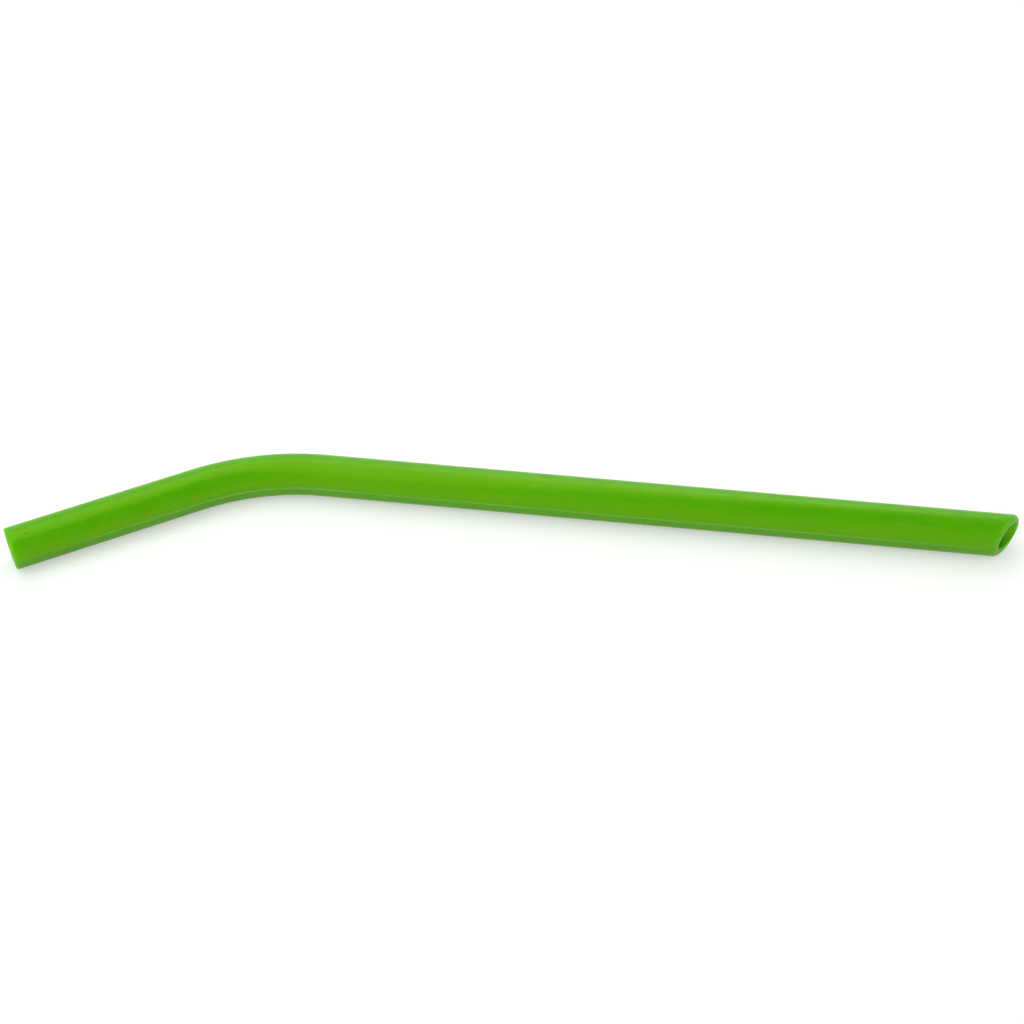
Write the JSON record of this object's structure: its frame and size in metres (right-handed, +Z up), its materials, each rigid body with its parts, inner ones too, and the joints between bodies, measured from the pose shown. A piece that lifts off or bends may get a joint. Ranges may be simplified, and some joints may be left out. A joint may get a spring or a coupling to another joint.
{
  "type": "silicone straw",
  "caption": "Bent reusable drinking straw moulded from soft silicone, with a square-cut mouth end, a gentle bend and a slanted, rounded tip.",
  "frame": {"origin": "middle of the footprint, on the surface that the straw lies on", "axes": "+X along the long straight run of the stem towards the slanted tip, +Z up from the surface; the bend is in the XY plane and the mouth end turns towards -Y"},
  "size_m": [0.2492, 0.0466, 0.0108],
  "materials": {
    "silicone": "satin"
  },
  "bodies": {
    "root": {"straw": "silicone"}
  },
  "joints": []
}
